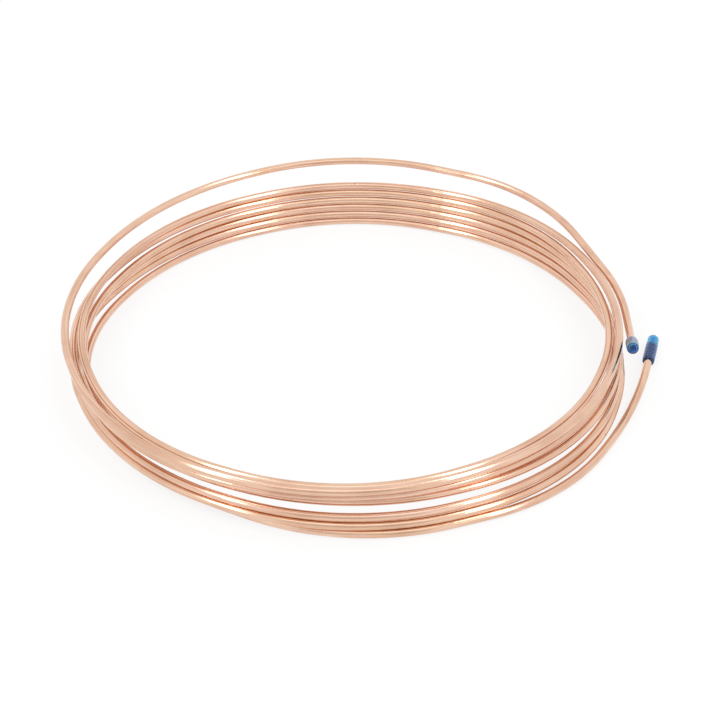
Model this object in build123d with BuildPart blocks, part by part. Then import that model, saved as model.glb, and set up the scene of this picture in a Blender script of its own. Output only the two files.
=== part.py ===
from build123d import *
import math
import os

# A loose coil of soft copper tube, lying flat as it is sold, with a vinyl cap pushed over each end.
# Millimetres. +Z is up, the floor is Z = 0 and the coil's axis stands on the origin.
# Angles run counter-clockwise seen from above: 0 is the right side, 90 the back, 180 the left
# side and 270 the front. The tube starts at its free upper end and winds down to the floor.

# Tube
TUBE_OD = 4.76
TUBE_WALL = 0.71
END_CHAMFER = 0.25

# Coil
MEAN_RADIUS = 162.5
TURN_GAP = 0.10
ARC_SHARE = 0.48

# End caps
CAP_LENGTH = 25.4
CAP_WALL = 1.25
CAP_GRIP = 17.0
CAP_CLEARANCE = 0.05
CAP_STANDOFF = 2.0
CAP_DOME = 2.3
CAP_RIM = 0.4

# How each turn lies, top turn first. A row goes around its turn in eighths: right back, back, left
# back, left, left front, front, right front, right. Each number is how far the tube's centre line
# stands out from the mean radius there, in tube diameters. The last turn ends past the front.
TURN_LAY = [
    (1.45, 1.25, 0.65, 1.15, 1.80, 1.50, 0.60, -0.05),
    (1.10, 0.25, -0.85, -0.65, -0.40, -0.40, -1.15, -1.10),
    (0.85, -0.05, -0.80, 0.55, 0.60, -0.20, -0.10, -0.40),
    (0.60, -0.35, -1.35, -0.70, -0.55, -0.70, 0.45, 0.35),
    (0.35, -0.60, -1.50, 0.40, 0.25, 0.90, 1.50, 0.40),
    (0.10, -0.90, -1.60, 0.85, 0.45, 1.15, 2.05, 0.50),
    (-0.20, -1.15, -1.90, -0.60, -1.10, 1.05),
]

# At the same eight places: how far the tube is on its way down to the next turn and how much
# looser than elsewhere the turns lie on each other, and the rise of the top turn, which springs up
# from the stack. All are in pitches.
TURN_DROP = (-0.2, 0.0, 0.0, 0.0, 0.0, 0.0, 0.1, 0.5)
TURN_SLACK = (0.04, 0.0, 0.01, 0.0, 0.0, 0.0, 0.0, 0.0)
TOP_SPRING = (1.75, 2.75, 1.5, 0.55, 0.15, 0.0, 0.0, 0.0)

# The upper end comes down beside the stack from its cap and joins the top turn. Each point is its
# offset from the mean radius, its angle and its height above the stack.
UPPER_END = [(9.3, -15.7, 5.3), (8.9, -5.6, -8.9), (11.4, 10.0, -5.7)]

# The lower end leaves the last turn and runs out along the floor, up into its cap, which lies
# there. Each point is its offset from the mean radius and its angle.
LOWER_END = [(20.7, -50.0), (17.7, -20.4), (25.8, 0.3)]
CAP_LIFT = 0.15

pitch = TUBE_OD + TURN_GAP
floor_height = TUBE_OD / 2
top_level = len(TURN_LAY) - 1
stack_height = floor_height + pitch * top_level
cap_bore = TUBE_OD + 2 * CAP_CLEARANCE
cap_od = cap_bore + 2 * CAP_WALL


def polar(radius, degrees, height):
    """A point given by its radius, angle and height."""
    angle = math.radians(degrees)
    return Vector(radius * math.cos(angle), radius * math.sin(angle), height)


def height_at(turn, place):
    """Height of the centre line of a turn at one of the eight places."""
    level = max(top_level - turn - TURN_DROP[place], 0)
    height = floor_height + pitch * level * (1 + TURN_SLACK[place])
    if turn == 0:
        height += pitch * TOP_SPRING[place]
    return height


# Corners of the route. Those of the turns stand outside the coil by the secant of half a step, so
# that the arcs around them touch it.
places = len(TURN_LAY[0])
step = 360 / places
outside = 1 / math.cos(math.radians(step / 2))
route = [polar(MEAN_RADIUS + out, deg, stack_height + rise) for out, deg, rise in UPPER_END]
for turn, lay in enumerate(TURN_LAY):
    for place, offset in enumerate(lay):
        radius = MEAN_RADIUS + offset * TUBE_OD
        route.append(polar(radius * outside, step * (place + 1), height_at(turn, place)))
route += [polar(MEAN_RADIUS + out, deg, floor_height) for out, deg in LOWER_END]

# The last run rises from the floor, so that at the rim it has come up to the cap's own axis.
tail_run = (route[-1] - route[-2]).length
rim_rise = cap_od / 2 + CAP_LIFT - floor_height
route[-1] += Vector(0, 0, rim_rise * tail_run / (tail_run - CAP_GRIP))

# Each arc takes its share of the shorter run beside it. An end run has an arc on one side only,
# and stays straight inside its cap and a little past the rim.
runs = [ahead - here for here, ahead in zip(route, route[1:])]
reach = [ARC_SHARE * run.length for run in runs]
reach[0] = runs[0].length - CAP_GRIP - CAP_STANDOFF
reach[-1] = runs[-1].length - CAP_GRIP - CAP_STANDOFF
bends = []
for first in range(len(runs) - 1):
    half_turn = math.radians(runs[first].get_angle(runs[first + 1])) / 2
    bends.append(min(reach[first], reach[first + 1]) / math.tan(half_turn))

# The tube: its ring section swept along straight runs joined by tangent arcs
with BuildPart() as copper_tube:
    with BuildLine() as centre_line:
        FilletPolyline(*route, radius=bends)
    upper_end = Plane(origin=centre_line.line @ 0, z_dir=centre_line.line % 0)
    lower_end = Plane(origin=centre_line.line @ 1, z_dir=-(centre_line.line % 1))
    with BuildSketch(upper_end) as tube_section:
        Circle(TUBE_OD / 2)
        Circle(TUBE_OD / 2 - TUBE_WALL, mode=Mode.SUBTRACT)
    sweep()
    # The cut ends have their outer edge broken.
    for end in (upper_end, lower_end):
        cut_edges = copper_tube.edges().filter_by(GeomType.CIRCLE).sort_by_distance(end.origin)
        outer_edge = cut_edges[0:2].sort_by(SortBy.RADIUS)[-1]
        chamfer(outer_edge, END_CHAMFER)
copper_tube.part.label = "copper_tube"

tube_length = sum(edge.length for edge in centre_line.edges())
print(f"tube {tube_length:.0f} mm, volume {copper_tube.part.volume:.0f} mm3")
print(f"bend radii {min(bends):.0f} to {max(bends):.0f} mm")


def cap_profile(end):
    """Half section of a cap, in the plane of the tube end's axis. Its rim is down the tube."""
    bore = cap_bore / 2
    outer = cap_od / 2
    tip = CAP_GRIP - CAP_LENGTH
    with BuildSketch(Plane(origin=end.origin, x_dir=end.x_dir, z_dir=-end.y_dir)) as profile:
        with BuildLine():
            Polyline(
                (bore, CAP_GRIP),
                (outer, CAP_GRIP),
                (outer, tip),
                (0, tip),
                (0, tip + CAP_WALL),
                (bore, tip + CAP_WALL),
                close=True,
            )
        make_face()
        fillet(profile.vertices().sort_by_distance((outer, tip))[0], CAP_DOME)
        fillet(profile.vertices().sort_by_distance((outer, CAP_GRIP))[0], CAP_RIM)
    return profile.sketch


# The caps: closed vinyl sleeves with a rounded end, turned about the tube's end
with BuildPart() as end_cap_upper:
    revolve(cap_profile(upper_end), axis=Axis(upper_end.origin, upper_end.z_dir))
end_cap_upper.part.label = "end_cap_upper"

with BuildPart() as end_cap_lower:
    revolve(cap_profile(lower_end), axis=Axis(lower_end.origin, lower_end.z_dir))
end_cap_lower.part.label = "end_cap_lower"

os.makedirs("parts", exist_ok=True)
export_step(copper_tube.part, "parts/copper_tube.step")
export_step(end_cap_upper.part, "parts/end_cap_upper.step")
export_step(end_cap_lower.part, "parts/end_cap_lower.step")
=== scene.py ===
"""Finishes a loose coil of soft copper tube and its two vinyl end caps, on a white studio floor."""

import math

import bpy
import numpy as np
from mathutils import Matrix, Vector


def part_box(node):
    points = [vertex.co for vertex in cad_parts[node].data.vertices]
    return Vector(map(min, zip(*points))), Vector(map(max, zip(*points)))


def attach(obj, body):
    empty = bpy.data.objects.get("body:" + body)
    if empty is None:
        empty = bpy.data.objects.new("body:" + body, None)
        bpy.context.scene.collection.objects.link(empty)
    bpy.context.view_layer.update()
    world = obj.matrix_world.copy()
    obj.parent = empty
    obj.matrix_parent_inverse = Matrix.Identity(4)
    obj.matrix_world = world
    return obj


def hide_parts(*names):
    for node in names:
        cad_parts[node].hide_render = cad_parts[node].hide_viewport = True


bl_info = {
    "name": "Copper Tube Coil",
    "version": (1, 0, 0),
    "blender": (4, 5, 0),
    "location": "View3D > Sidebar > Copper Coil",
    "description": "Finishes a loose coil of soft copper tube and its two vinyl end caps",
    "category": "Object",
}

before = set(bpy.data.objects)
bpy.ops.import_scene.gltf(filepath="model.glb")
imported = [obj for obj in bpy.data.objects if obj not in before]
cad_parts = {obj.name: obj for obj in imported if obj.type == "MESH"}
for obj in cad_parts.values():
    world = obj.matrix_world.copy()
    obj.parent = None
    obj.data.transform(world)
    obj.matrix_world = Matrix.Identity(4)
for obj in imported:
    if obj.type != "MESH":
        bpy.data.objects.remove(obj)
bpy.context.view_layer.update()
TUBE_NODE = "copper_tube"
CAP_NODES = ("end_cap_upper", "end_cap_lower")
MM = 0.001
RIGHT_ANGLE = math.pi / 2

# Bump of the fine marks, on the copper and on the vinyl
RELIEF_STRENGTH = 0.08
RELIEF_HEIGHT = 0.05 * MM

# Sockets of the Mix node when it mixes colours
MIX_SHARE, MIX_FIRST, MIX_SECOND = 0, 6, 7
MIX_RESULT = 2


def linear_rgb(hex_colour):
    """Linear red, green and blue of an sRGB hex colour, by the curve of the sRGB standard."""
    shares = [int(hex_colour[first:first + 2], 16) / 255 for first in (1, 3, 5)]
    return tuple(s / 12.92 if s <= 0.04045 else ((s + 0.055) / 1.055) ** 2.4 for s in shares)


def cap_seat(node):
    """Rim centre, direction to the closed tip, length and outer radius of a cap's solid."""
    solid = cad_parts[node].data
    areas = [face.area for face in solid.polygons]
    centres = np.array([face.center for face in solid.polygons])
    middle = np.average(centres, axis=0, weights=areas)
    axis = np.linalg.eigh(np.cov(centres.T, aweights=areas))[1][:, -1]
    points = np.array([vertex.co for vertex in solid.vertices]) - middle
    along = points @ axis
    out = np.linalg.norm(points - np.outer(along, axis), axis=1)
    # The points nearest the axis are at the closed tip.
    if along[out.argmin()] < 0:
        axis, along = -axis, -along
    return Vector(middle + axis * along.min()), Vector(axis), float(np.ptp(along)), float(out.max())


CAP_LENGTH, CAP_RADIUS = cap_seat(CAP_NODES[0])[2:]


class CoilTubeFinish(bpy.types.PropertyGroup):
    """Colours and marks of the copper."""

    bright: bpy.props.FloatVectorProperty(
        name="Bright copper", description="Colour of the clean metal",
        subtype="COLOR", min=0, max=1, default=linear_rgb("#F1CDB9"))
    deep: bpy.props.FloatVectorProperty(
        name="Deep copper", description="Colour of the lines that the die left along the tube",
        subtype="COLOR", min=0, max=1, default=linear_rgb("#DDB093"))
    straw: bpy.props.FloatVectorProperty(
        name="Straw", description="Colour of the stretches that annealing left a little yellow",
        subtype="COLOR", min=0, max=1, default=linear_rgb("#EBCBA6"))
    straw_strength: bpy.props.FloatProperty(
        name="Straw strength", description="How far those stretches go to straw",
        subtype="FACTOR", min=0, max=1, default=0.3)
    brown: bpy.props.FloatVectorProperty(
        name="Browning", description="Colour where air and handling have dulled the metal",
        subtype="COLOR", min=0, max=1, default=linear_rgb("#BF8E70"))
    brown_strength: bpy.props.FloatProperty(
        name="Browning strength", description="How far the dulled patches go to brown",
        subtype="FACTOR", min=0, max=1, default=0.45)
    oxide: bpy.props.FloatVectorProperty(
        name="Oxide", description="Colour of the small dark specks",
        subtype="COLOR", min=0, max=1, default=linear_rgb("#4A2A20"))
    oxide_strength: bpy.props.FloatProperty(
        name="Oxide strength", description="How far the middle of a speck goes to oxide",
        subtype="FACTOR", min=0, max=1, default=0.6)
    clean_roughness: bpy.props.FloatProperty(
        name="Clean roughness", description="Roughness of the cleanest metal",
        subtype="FACTOR", min=0, max=1, default=0.12)
    dull_roughness: bpy.props.FloatProperty(
        name="Dull roughness", description="Roughness of the dullest metal",
        subtype="FACTOR", min=0, max=1, default=0.2)
    line_width: bpy.props.FloatProperty(
        name="Line width", description="Width of the drawn lines",
        unit="LENGTH", precision=4, default=1.1 * MM)
    line_length: bpy.props.FloatProperty(
        name="Line length", description="Length over which a drawn line fades",
        unit="LENGTH", precision=3, default=70 * MM)
    patch_size: bpy.props.FloatProperty(
        name="Patch size", description="Size of the dulled patches",
        unit="LENGTH", precision=3, default=38 * MM)
    speck_spacing: bpy.props.FloatProperty(
        name="Speck spacing", description="Mean distance between oxide specks",
        unit="LENGTH", precision=3, default=20 * MM)
    speck_radius: bpy.props.FloatProperty(
        name="Speck radius", description="Radius of an oxide speck",
        unit="LENGTH", precision=4, default=0.6 * MM)


class CoilCapMould(bpy.types.PropertyGroup):
    """Shape and colour of the dip-moulded caps."""

    wall: bpy.props.FloatProperty(
        name="Wall", description="Thickness of the vinyl",
        unit="LENGTH", precision=4, default=1.25 * MM)
    dome: bpy.props.FloatProperty(
        name="Dome", description="Radius of the rounded closed end",
        unit="LENGTH", precision=4, default=2.3 * MM)
    grip: bpy.props.FloatProperty(
        name="Grip", description="Length of tube inside the cap",
        unit="LENGTH", precision=4, default=17 * MM)
    relax: bpy.props.FloatProperty(
        name="Relax", description="How much less the cap's radius is past the tube's end",
        unit="LENGTH", precision=4, default=0.2 * MM)
    rim_bead: bpy.props.FloatProperty(
        name="Rim bead", description="Rounding of the open rim",
        unit="LENGTH", precision=5, default=0.35 * MM)
    sides: bpy.props.IntProperty(
        name="Sides", description="Faces around the cap", min=12, default=40)
    vinyl: bpy.props.FloatVectorProperty(
        name="Vinyl", description="Colour of light through one wall",
        subtype="COLOR", min=0, max=1, default=linear_rgb("#48E0FF"))
    # Painted shade of the tube inside the cap, laid over the vinyl from the rim to the tube's end.
    tube_shade: bpy.props.FloatVectorProperty(
        name="Thick vinyl", description="Colour of light through the thicker wall over the tube",
        subtype="COLOR", min=0, max=1, default=linear_rgb("#5880C2"))
    # Painted shade of the dark inside, seen through the closed end, laid over the dome.
    painted_end_shade: bpy.props.FloatVectorProperty(
        name="End vinyl", description="Colour of light through the thick closed end",
        subtype="COLOR", min=0, max=1, default=linear_rgb("#4C84DC"))
    cloud_size: bpy.props.FloatProperty(
        name="Cloud size", description="Size of the cloudy changes in the vinyl",
        unit="LENGTH", precision=4, default=4 * MM)
    skin_size: bpy.props.FloatProperty(
        name="Skin size", description="Size of the fine unevenness of its surface",
        unit="LENGTH", precision=4, default=0.9 * MM)


class CoilStage(bpy.types.PropertyGroup):
    """Camera, floor and light."""

    elevation: bpy.props.FloatProperty(
        name="Camera elevation", description="Angle of the view above the floor",
        subtype="ANGLE", default=math.radians(35.08))
    distance: bpy.props.FloatProperty(
        name="Camera distance", description="From the coil's centre on the floor to the lens",
        unit="LENGTH", default=928.5 * MM)
    lens: bpy.props.FloatProperty(
        name="Lens", description="Focal length on a 36 mm sensor", unit="CAMERA", default=75.0)
    shift: bpy.props.FloatVectorProperty(
        name="Shift", description="Sideways and upward shift of the picture, in picture widths",
        size=2, default=(0.0179, -0.0106))
    floor_size: bpy.props.FloatProperty(
        name="Floor size", description="Side of the square floor", unit="LENGTH", default=12.0)
    floor_glow: bpy.props.FloatProperty(
        name="Floor glow", description="Share of plain white over the floor's own light and shadow",
        subtype="FACTOR", min=0, max=1, default=0.8)
    ambient: bpy.props.FloatProperty(
        name="Ambient", description="Strength of the even light from all around", default=0.95)
    lamp_distance: bpy.props.FloatProperty(
        name="Lamp distance", description="From the coil to the ends of each lamp",
        unit="LENGTH", default=1.7)
    strip_glow: bpy.props.FloatProperty(
        name="Strip glow", description="Brightness of each strip lamp, where white paper is 1",
        default=3.8)
    strip_width: bpy.props.FloatProperty(
        name="Strip width", description="Width of each strip lamp", unit="LENGTH", default=0.2)
    strip_low: bpy.props.FloatVectorProperty(
        name="Strip low end", description="Direction of the right strip's low end, seen from the coil",
        subtype="DIRECTION", default=(0.64, -0.70, 0.32))
    strip_high: bpy.props.FloatVectorProperty(
        name="Strip high end", description="Direction of the right strip's high end, seen from the coil",
        subtype="DIRECTION", default=(0.29, 0.12, 0.95))
    overhead_glow: bpy.props.FloatProperty(
        name="Overhead glow", description="Brightness of the overhead lamp, where white paper is 1",
        default=0.5)
    overhead_width: bpy.props.FloatProperty(
        name="Overhead width", description="Depth of the overhead lamp", unit="LENGTH", default=0.5)
    overhead_end: bpy.props.FloatVectorProperty(
        name="Overhead end", description="Direction of the overhead lamp's right end, from the coil",
        subtype="DIRECTION", default=(0.35, -0.4, 0.85))
    flag_distance: bpy.props.FloatProperty(
        name="Flag distance", description="From the coil to the grey card behind the camera",
        unit="LENGTH", default=1.3)
    flag_size: bpy.props.FloatVectorProperty(
        name="Flag size", description="Width and height of the grey card",
        size=2, unit="LENGTH", default=(1.3, 1.1))


def add_node(tree, kind, inputs=None, **settings):
    """Adds a node with its settings, and sets or links its inputs."""
    node = tree.nodes.new(kind)
    for name, value in settings.items():
        setattr(node, name, value)
    for socket, value in (inputs or {}).items():
        if isinstance(value, bpy.types.NodeSocket):
            tree.links.new(value, node.inputs[socket])
        else:
            node.inputs[socket].default_value = value
    return node


def calculate(tree, operation, *values, **settings):
    """Result of a sum on numbers."""
    inputs = dict(enumerate(values))
    return add_node(tree, "ShaderNodeMath", inputs, operation=operation, **settings).outputs[0]


def remap(tree, value, low, high, start=0.0, end=1.0):
    """Takes a value from the range low to high into the range start to end, and keeps it there."""
    inputs = {"Value": value, "From Min": low, "From Max": high, "To Min": start, "To Max": end}
    return add_node(tree, "ShaderNodeMapRange", inputs).outputs[0]


def mix_colours(tree, share, first, second):
    """The colour that lies at a share of the way from the first colour to the second."""
    inputs = {MIX_SHARE: share, MIX_FIRST: first, MIX_SECOND: second}
    return add_node(tree, "ShaderNodeMix", inputs, data_type="RGBA").outputs[MIX_RESULT]


def fine_relief(tree, height):
    """Normal of a surface with fine marks on it."""
    inputs = {"Strength": RELIEF_STRENGTH, "Distance": RELIEF_HEIGHT, "Height": height}
    return add_node(tree, "ShaderNodeBump", inputs).outputs[0]


def new_material(name):
    """An empty material and its node tree."""
    material = bpy.data.materials.new(name)
    material.use_nodes = True
    material.node_tree.nodes.clear()
    return material, material.node_tree


def opaque(colour):
    """A colour property as the four numbers that a node takes."""
    return (*colour, 1.0)


def bright_drawn_copper(finish):
    """Soft copper tube, drawn bright through a die, annealed and wound.

    It gives the eye a pale pink metal with long soft lines along the tube, straw stretches, duller brown
    patches and a few dark specks of oxide.
    """
    material, tree = new_material("bright_drawn_copper")
    place = add_node(tree, "ShaderNodeTexCoord").outputs["Object"]
    axes = add_node(tree, "ShaderNodeSeparateXYZ", {0: place}).outputs
    flat = add_node(tree, "ShaderNodeCombineXYZ", {"X": axes["X"], "Y": axes["Y"]}).outputs[0]
    radius = add_node(tree, "ShaderNodeVectorMath", {0: flat}, operation="LENGTH").outputs["Value"]
    around = add_node(tree, "ShaderNodeVectorMath", {0: flat}, operation="NORMALIZE").outputs["Vector"]

    # The drawn lines run around the coil: slow change along the tube, quick change across it.
    low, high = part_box(TUBE_NODE)
    coil_radius = (high.y - low.y) / 2
    long_way = add_node(tree, "ShaderNodeVectorMath",
                        {0: around, "Scale": coil_radius / finish.line_length},
                        operation="SCALE").outputs[0]
    outward = calculate(tree, "MULTIPLY", radius, 1 / finish.line_width)
    upward = calculate(tree, "MULTIPLY", axes["Z"], 1 / finish.line_width)
    across = add_node(tree, "ShaderNodeCombineXYZ", {"Z": outward}).outputs[0]
    line_place = add_node(tree, "ShaderNodeVectorMath", {0: long_way, 1: across},
                          operation="ADD").outputs[0]
    lines = add_node(tree, "ShaderNodeTexNoise",
                     {"Vector": line_place, "W": upward, "Scale": 1.0, "Detail": 3.0, "Roughness": 0.6},
                     noise_dimensions="4D").outputs[0]
    line_share = remap(tree, lines, low=0.35, high=0.68)

    # The straw stretches follow the same lines, and are wider.
    tones = add_node(tree, "ShaderNodeTexNoise",
                     {"Vector": line_place, "W": upward, "Scale": 0.25, "Detail": 1.0},
                     noise_dimensions="4D").outputs[0]
    straw_share = remap(tree, tones, low=0.45, high=0.65, end=finish.straw_strength)

    patches = add_node(tree, "ShaderNodeTexNoise",
                       {"Vector": place, "Scale": 1 / finish.patch_size,
                        "Detail": 4.0, "Roughness": 0.6}).outputs[0]
    patch_share = remap(tree, patches, low=0.45, high=0.75, end=finish.brown_strength)
    sheen = remap(tree, patches, low=0.3, high=0.75,
                  start=finish.clean_roughness, end=finish.dull_roughness)

    # A speck is at its darkest over the inner half of its radius.
    specks = add_node(tree, "ShaderNodeTexVoronoi",
                      {"Vector": place, "Scale": 1 / finish.speck_spacing}).outputs["Distance"]
    speck_reach = finish.speck_radius / finish.speck_spacing
    speck_share = remap(tree, specks, low=speck_reach / 2, high=speck_reach,
                        start=finish.oxide_strength, end=0.0)

    lined = mix_colours(tree, line_share, opaque(finish.bright), opaque(finish.deep))
    toned = mix_colours(tree, straw_share, lined, opaque(finish.straw))
    dulled = mix_colours(tree, patch_share, toned, opaque(finish.brown))
    specked = mix_colours(tree, speck_share, dulled, opaque(finish.oxide))
    shader = add_node(tree, "ShaderNodeBsdfPrincipled",
                      {"Base Color": specked, "Metallic": 1.0, "Roughness": sheen,
                       "Normal": fine_relief(tree, lines)})
    add_node(tree, "ShaderNodeOutputMaterial", {"Surface": shader.outputs[0]})
    return material


def dipped_blue_vinyl(mould):
    """Plasticised vinyl, dip moulded on a pin and left translucent.

    It gives the eye a glossy soft blue that is bright where it is empty and darkens along its edges,
    with painted shade that takes it to slate over the tube inside and to deeper blue over the closed
    end.
    """
    material, tree = new_material("dipped_blue_vinyl")
    along = add_node(tree, "ShaderNodeAttribute", attribute_name="along").outputs["Fac"]
    place = add_node(tree, "ShaderNodeTexCoord").outputs["Object"]
    cloud = add_node(tree, "ShaderNodeTexNoise",
                     {"Vector": place, "Scale": 1 / mould.cloud_size,
                      "Detail": 3.0, "Roughness": 0.55}).outputs[0]

    # Painted shade: a darker blue over the tube inside the cap, and a deeper blue over the closed end
    # for its dark inside.
    # Places along the cap are shares of its length, from the rim.
    tube_end = mould.grip / CAP_LENGTH
    fade_before, fade_after = 0.05, 0.03
    cloud_weight = 0.2
    # Painted shade of the tube inside, from the rim to the tube's end.
    tube_shade_share = remap(tree, along, low=tube_end - fade_before, high=tube_end + fade_after,
                       start=0.9, end=0.0)
    clouded_tube_shade = calculate(tree, "MULTIPLY_ADD", cloud, cloud_weight, tube_shade_share, use_clamp=True)
    # Painted shade over the closed end, broken up by the cloud.
    end_shade_share = remap(tree, along, low=0.915, high=0.94)
    end_shade_cloud = remap(tree, cloud, low=0.35, high=0.5, start=0.6, end=1.0)
    painted_end_shade = calculate(tree, "MULTIPLY", end_shade_share, end_shade_cloud)
    sleeve_with_tube_shade = mix_colours(tree, clouded_tube_shade, opaque(mould.vinyl), opaque(mould.tube_shade))
    tint = mix_colours(tree, painted_end_shade, sleeve_with_tube_shade, opaque(mould.painted_end_shade))

    skin = add_node(tree, "ShaderNodeTexNoise",
                    {"Vector": place, "Scale": 1 / mould.skin_size, "Detail": 2.0}).outputs[0]
    gloss = remap(tree, cloud, low=0.0, high=1.0, start=0.16, end=0.34)
    shader = add_node(tree, "ShaderNodeBsdfPrincipled",
                      {"Base Color": tint, "Roughness": gloss, "IOR": 1.48,
                       "Transmission Weight": 0.92, "Normal": fine_relief(tree, skin)})
    add_node(tree, "ShaderNodeOutputMaterial", {"Surface": shader.outputs[0]})
    return material


def background_share(tree):
    """One for what the camera sees, in metal and through vinyl too, and nought for other light."""
    rays = add_node(tree, "ShaderNodeLightPath").outputs
    mirrored = calculate(tree, "MAXIMUM", rays["Is Camera Ray"], rays["Is Glossy Ray"])
    return calculate(tree, "MAXIMUM", mirrored, rays["Is Transmission Ray"])


def matt_white_paper(glow_share):
    """Seamless white studio paper. It gives the eye a plain white ground that keeps a soft shadow."""
    material, tree = new_material("matt_white_paper")
    diffuse = add_node(tree, "ShaderNodeBsdfDiffuse", {"Color": opaque(linear_rgb("#F4F4F4"))})
    glow = add_node(tree, "ShaderNodeEmission",
                    {"Color": opaque(linear_rgb("#FFFFFF")), "Strength": 1.0})
    share = calculate(tree, "MULTIPLY", background_share(tree), glow_share)
    mixed = add_node(tree, "ShaderNodeMixShader",
                     {0: share, 1: diffuse.outputs[0], 2: glow.outputs[0]})
    add_node(tree, "ShaderNodeOutputMaterial", {"Surface": mixed.outputs[0]})
    return material


def matt_grey_card():
    """Matt grey card. It gives the eye a soft dark side to the bright metal."""
    material, tree = new_material("matt_grey_card")
    diffuse = add_node(tree, "ShaderNodeBsdfDiffuse", {"Color": opaque(linear_rgb("#D6D2CE"))})
    add_node(tree, "ShaderNodeOutputMaterial", {"Surface": diffuse.outputs[0]})
    return material


def cap_section(mould):
    """Radius and height of a cap's rings: from the bore's closed end to the rim, then up the outside."""
    bore = CAP_RADIUS - mould.wall
    bore_end = CAP_LENGTH - mould.wall
    inner_tip = bore - mould.relax
    outer_tip = CAP_RADIUS - mould.relax
    half_grip = mould.grip / 2
    # The bore's closed end has a flat middle and a shoulder that rounds into the side.
    flat_share, shoulder_share = 0.45, 0.85
    shoulder_drop, side_drop = 0.2 * MM, 0.8 * MM
    # Past the tube's end the cap narrows over these lengths, inside and outside.
    inner_step, outer_step = 1.2 * MM, 1.4 * MM
    # The rim is rounder outside than at the bore.
    bore_edge = mould.rim_bead * 0.4
    rings = [
        (bore * flat_share, bore_end),
        (bore * shoulder_share, bore_end - shoulder_drop),
        (inner_tip, bore_end - side_drop),
        (inner_tip, mould.grip + inner_step),
        (bore, mould.grip),
        (bore, half_grip),
        (bore, mould.rim_bead),
        (bore + bore_edge, 0.0),
        (CAP_RADIUS - mould.rim_bead, 0.0),
        (CAP_RADIUS, mould.rim_bead),
        (CAP_RADIUS, half_grip),
        (CAP_RADIUS, mould.grip),
        (outer_tip, mould.grip + outer_step),
    ]
    dome_steps = 6
    for step in range(dome_steps):
        turn = RIGHT_ANGLE * step / dome_steps
        out = outer_tip - mould.dome * (1 - math.cos(turn))
        rings.append((out, CAP_LENGTH - mould.dome * (1 - math.sin(turn))))
    tip_flat = outer_tip - mould.dome
    rings.append((tip_flat / 2, CAP_LENGTH))
    return rings


class COIL_OT_finish_tube(bpy.types.Operator):
    """Gives the tube its bright drawn copper finish"""

    bl_idname = "coil.finish_tube"
    bl_label = "Finish tube"

    def execute(self, context):
        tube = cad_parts[TUBE_NODE]
        tube.data.materials[0] = bright_drawn_copper(context.scene.coil_tube)
        return {"FINISHED"}


class COIL_OT_mould_caps(bpy.types.Operator):
    """Models the vinyl end caps and puts them over the tube's ends"""

    bl_idname = "coil.mould_caps"
    bl_label = "Mould caps"

    def execute(self, context):
        mould = context.scene.coil_caps
        vinyl = dipped_blue_vinyl(mould)
        for node in CAP_NODES:
            cap = self.mould_cap(mould)
            cap.name = node + "_vinyl"
            rim, axis = cap_seat(node)[:2]
            turn = axis.to_track_quat("Z", "Y").to_matrix().to_4x4()
            cap.matrix_world = Matrix.Translation(rim) @ turn
            bpy.ops.object.transform_apply(location=True, rotation=True, scale=True)
            cap.data.materials.append(vinyl)
            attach(cap, "root")
            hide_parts(node)
        return {"FINISHED"}

    def mould_cap(self, mould):
        """One cap, standing on its rim at the origin, with each point's place along it."""
        rings = cap_section(mould)
        weld_distance = 0.001 * MM
        first_radius, first_height = rings[0]
        bpy.ops.object.select_all(action="DESELECT")
        bpy.ops.mesh.primitive_circle_add(
            vertices=mould.sides, radius=first_radius, fill_type="TRIFAN", location=(0, 0, first_height))
        cap = bpy.context.object
        bpy.ops.object.transform_apply(location=True)
        bpy.ops.object.mode_set(mode="EDIT")
        bpy.ops.mesh.select_mode(type="EDGE")
        bpy.ops.mesh.select_all(action="SELECT")
        bpy.ops.mesh.region_to_loop()
        for (radius, height), (next_radius, next_height) in zip(rings, rings[1:]):
            rise = (0, 0, next_height - height)
            growth = next_radius / radius
            bpy.ops.mesh.extrude_edges_move(TRANSFORM_OT_translate={"value": rise})
            bpy.ops.transform.resize(value=(growth, growth, 1), center_override=(0, 0, next_height))
        bpy.ops.mesh.extrude_edges_move()
        bpy.ops.mesh.merge(type="CENTER")
        bpy.ops.mesh.select_all(action="SELECT")
        bpy.ops.mesh.remove_doubles(threshold=weld_distance)
        bpy.ops.mesh.normals_make_consistent(inside=False)
        bpy.ops.object.mode_set(mode="OBJECT")
        smooth = cap.modifiers.new("soft_edges", "SUBSURF")
        smooth.levels = smooth.render_levels = 1
        bpy.ops.object.modifier_apply(modifier=smooth.name)
        bpy.ops.object.shade_smooth()
        places = cap.data.attributes.new("along", "FLOAT", "POINT")
        places.data.foreach_set("value", [vertex.co.z / CAP_LENGTH for vertex in cap.data.vertices])
        return cap


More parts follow.
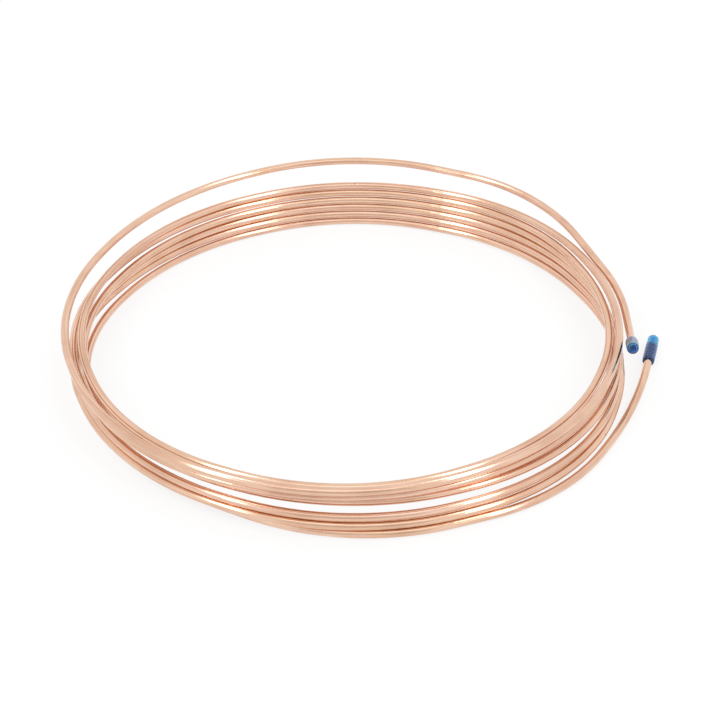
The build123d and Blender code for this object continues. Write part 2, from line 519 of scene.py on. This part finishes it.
class COIL_OT_set_stage(bpy.types.Operator):
    """Lays the white floor, and sets the light and the camera"""

    bl_idname = "coil.set_stage"
    bl_label = "Set stage"

    def execute(self, context):
        stage = context.scene.coil_stage
        context.scene.view_settings.view_transform = "Standard"
        bpy.ops.object.select_all(action="DESELECT")
        bpy.ops.mesh.primitive_plane_add(size=stage.floor_size)
        floor = context.object
        floor.name = "studio_floor"
        floor.data.materials.append(matt_white_paper(stage.floor_glow))
        self.light_surroundings(context.scene, stage)
        self.hang_lamps(stage)
        self.stand_flag(stage)
        self.place_camera(context.scene, stage)
        return {"FINISHED"}

    def light_surroundings(self, scene, stage):
        """White all around, and an even light from it on the object."""
        world = bpy.data.worlds.new("white_studio")
        world.use_nodes = True
        tree = world.node_tree
        tree.nodes.clear()
        white = opaque(linear_rgb("#FFFFFF"))
        light = add_node(tree, "ShaderNodeBackground", {"Color": white, "Strength": stage.ambient})
        seen = add_node(tree, "ShaderNodeBackground", {"Color": white, "Strength": 1.0})
        mixed = add_node(tree, "ShaderNodeMixShader",
                         {0: background_share(tree), 1: light.outputs[0], 2: seen.outputs[0]})
        add_node(tree, "ShaderNodeOutputWorld", {"Surface": mixed.outputs[0]})
        scene.world = world

    def hang_lamps(self, stage):
        """A strip lamp rising over each side of the camera, and a wide soft lamp overhead."""
        mirrored = Vector((-1, 1, 1))
        low, high = Vector(stage.strip_low), Vector(stage.strip_high)
        overhead = Vector(stage.overhead_end)
        self.hang_lamp(stage, "strip_right", low, high, stage.strip_width, stage.strip_glow)
        self.hang_lamp(stage, "strip_left", low * mirrored, high * mirrored,
                       stage.strip_width, stage.strip_glow)
        self.hang_lamp(stage, "overhead_lamp", overhead * mirrored, overhead,
                       stage.overhead_width, stage.overhead_glow)

    def hang_lamp(self, stage, name, start, end, width, glow):
        """One flat lamp between two directions from the coil. Its power follows from glow and area."""
        start = start.normalized() * stage.lamp_distance
        end = end.normalized() * stage.lamp_distance
        middle = (start + end) / 2
        length = (end - start).length
        up = (end - start).normalized()
        back = middle.normalized()
        turn = Matrix((up.cross(back), up, back)).transposed().to_4x4()
        bpy.ops.object.light_add(type="AREA")
        lamp = bpy.context.object
        lamp.name = name
        lamp.matrix_world = Matrix.Translation(middle) @ turn
        lamp.data.shape = "RECTANGLE"
        lamp.data.size = width
        lamp.data.size_y = length
        lamp.data.energy = glow * math.pi * width * length

    def stand_flag(self, stage):
        """A grey card behind the camera, which shows only in reflections and through the vinyl."""
        width, height = stage.flag_size
        bpy.ops.object.select_all(action="DESELECT")
        bpy.ops.mesh.primitive_plane_add(
            size=1, location=(0, -stage.flag_distance, height / 2), rotation=(RIGHT_ANGLE, 0, 0))
        flag = bpy.context.object
        flag.name = "grey_flag"
        flag.scale = (width, height, 1)
        bpy.ops.object.transform_apply(location=True, rotation=True, scale=True)
        flag.data.materials.append(matt_grey_card())
        flag.visible_camera = flag.visible_diffuse = flag.visible_shadow = False

    def place_camera(self, scene, stage):
        """A camera in front of the coil, looking down on its centre."""
        back = Vector((0, -math.cos(stage.elevation), math.sin(stage.elevation)))
        bpy.ops.object.camera_add(
            location=back * stage.distance, rotation=(RIGHT_ANGLE - stage.elevation, 0, 0))
        camera = bpy.context.object
        camera.name = "photo_camera"
        camera.data.lens = stage.lens
        camera.data.shift_x, camera.data.shift_y = stage.shift
        scene.camera = camera


class COIL_PT_sidebar(bpy.types.Panel):
    """The coil's sizes, finishes and steps"""

    bl_idname = "COIL_PT_sidebar"
    bl_label = "Copper Tube Coil"
    bl_space_type = "VIEW_3D"
    bl_region_type = "UI"
    bl_category = "Copper Coil"

    def draw(self, context):
        for step, settings in ((COIL_OT_finish_tube, context.scene.coil_tube),
                               (COIL_OT_mould_caps, context.scene.coil_caps),
                               (COIL_OT_set_stage, context.scene.coil_stage)):
            box = self.layout.box()
            box.operator(step.bl_idname)
            for name in settings.__annotations__:
                box.prop(settings, name)


CLASSES = (CoilTubeFinish, CoilCapMould, CoilStage,
           COIL_OT_finish_tube, COIL_OT_mould_caps, COIL_OT_set_stage, COIL_PT_sidebar)


def register():
    for cls in CLASSES:
        bpy.utils.register_class(cls)
    bpy.types.Scene.coil_tube = bpy.props.PointerProperty(type=CoilTubeFinish)
    bpy.types.Scene.coil_caps = bpy.props.PointerProperty(type=CoilCapMould)
    bpy.types.Scene.coil_stage = bpy.props.PointerProperty(type=CoilStage)


def unregister():
    del bpy.types.Scene.coil_stage
    del bpy.types.Scene.coil_caps
    del bpy.types.Scene.coil_tube
    for cls in reversed(CLASSES):
        bpy.utils.unregister_class(cls)


def main():
    register()
    bpy.ops.coil.finish_tube()
    bpy.ops.coil.mould_caps()
    bpy.ops.coil.set_stage()


if __name__ == "__main__":
    main()
